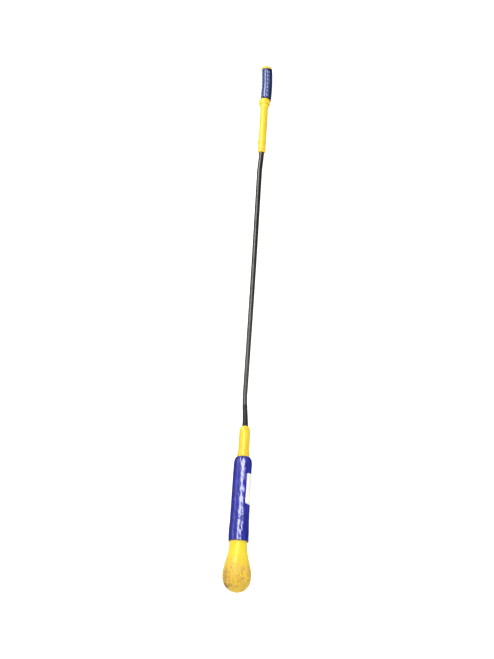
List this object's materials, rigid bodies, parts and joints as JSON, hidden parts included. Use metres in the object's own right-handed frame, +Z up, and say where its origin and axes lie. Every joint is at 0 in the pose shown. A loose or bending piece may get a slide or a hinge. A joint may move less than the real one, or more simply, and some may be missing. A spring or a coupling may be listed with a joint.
{
  "type": "swing trainer stick",
  "caption": "Flexible golf swing trainer: short gripped handle with a flared collar, thin tapered black rod, and a weighted, sleeved barrel ending in a pear-shaped bulb.",
  "frame": {"origin": "on the surface that the stick lies on, under the middle of its length", "axes": "+Z up; the stick lies along Y with its handle towards +Y and its bulb towards -Y; its axis drops by 0.85 degrees towards the handle, because it rests on the bulb and on the butt cap's rim; the sticker faces +X and the pin's boss faces -X"},
  "size_m": [0.0588, 1.1998, 0.0588],
  "materials": {
    "yellow_plastic": "satin",
    "bulb_vinyl": "satin",
    "blue_vinyl": "gloss",
    "blue_rubber": "matte",
    "black_glassfibre": "gloss",
    "black_rubber": "matte",
    "core_rubber": "matte",
    "steel": "satin",
    "iron": "matte",
    "white_label": "satin"
  },
  "bodies": {
    "handle": {"handle_tube": "yellow_plastic", "grip_collar": "yellow_plastic", "grip_sleeve": "blue_rubber", "butt_cap": "yellow_plastic", "cross_pin": "steel", "handle_set_screw": "steel", "rod_handle_end": "black_glassfibre"},
    "rod_1": {"rod_span_1": "black_glassfibre"},
    "rod_2": {"rod_span_2": "black_glassfibre"},
    "rod_3": {"rod_span_3": "black_glassfibre"},
    "rod_4": {"rod_span_4": "black_glassfibre"},
    "rod_5": {"rod_span_5": "black_glassfibre"},
    "head": {"rod_head_end": "black_glassfibre", "shaft_boot": "black_rubber", "rod_socket": "steel", "socket_pin": "steel", "head_ferrule": "yellow_plastic", "head_set_screw": "steel", "upper_rivets": "steel", "barrel_tube": "steel", "barrel_weight": "iron", "weight_pad": "core_rubber", "head_sleeve": "blue_vinyl", "sleeve_label": "white_label", "lower_rivets": "steel", "core_stud": "steel", "bulb_core": "core_rubber", "head_bulb": "bulb_vinyl"}
  },
  "joints": [
    {"name": "shaft_flex_1", "type": "hinge", "parent": "handle", "child": "rod_1", "pos_m": [0, 0.33097, 0.01638], "axis": [0, 0, 1], "range_deg": [-10, 10], "stiffness_Nm_per_rad": 328},
    {"name": "shaft_flex_2", "type": "hinge", "parent": "rod_1", "child": "rod_2", "pos_m": [0, 0.23298, 0.01781], "axis": [0, 0, 1], "range_deg": [-10, 10], "stiffness_Nm_per_rad": 306},
    {"name": "shaft_flex_3", "type": "hinge", "parent": "rod_2", "child": "rod_3", "pos_m": [0, 0.13499, 0.01923], "axis": [0, 0, 1], "range_deg": [-10, 10], "stiffness_Nm_per_rad": 283},
    {"name": "shaft_flex_4", "type": "hinge", "parent": "rod_3", "child": "rod_4", "pos_m": [0, 0.037, 0.02065], "axis": [0, 0, 1], "range_deg": [-10, 10], "stiffness_Nm_per_rad": 259},
    {"name": "shaft_flex_5", "type": "hinge", "parent": "rod_4", "child": "rod_5", "pos_m": [0, -0.06099, 0.02207], "axis": [0, 0, 1], "range_deg": [-10, 10], "stiffness_Nm_per_rad": 233},
    {"name": "shaft_flex_6", "type": "hinge", "parent": "rod_5", "child": "head", "pos_m": [0, -0.15898, 0.0235], "axis": [0, 0, 1], "range_deg": [-10, 10], "stiffness_Nm_per_rad": 201}
  ],
  "couplings": [
    {"joint": "shaft_flex_2", "follows": "shaft_flex_1", "ratio": 1},
    {"joint": "shaft_flex_3", "follows": "shaft_flex_1", "ratio": 1},
    {"joint": "shaft_flex_4", "follows": "shaft_flex_1", "ratio": 1},
    {"joint": "shaft_flex_5", "follows": "shaft_flex_1", "ratio": 1},
    {"joint": "shaft_flex_6", "follows": "shaft_flex_1", "ratio": 1}
  ]
}
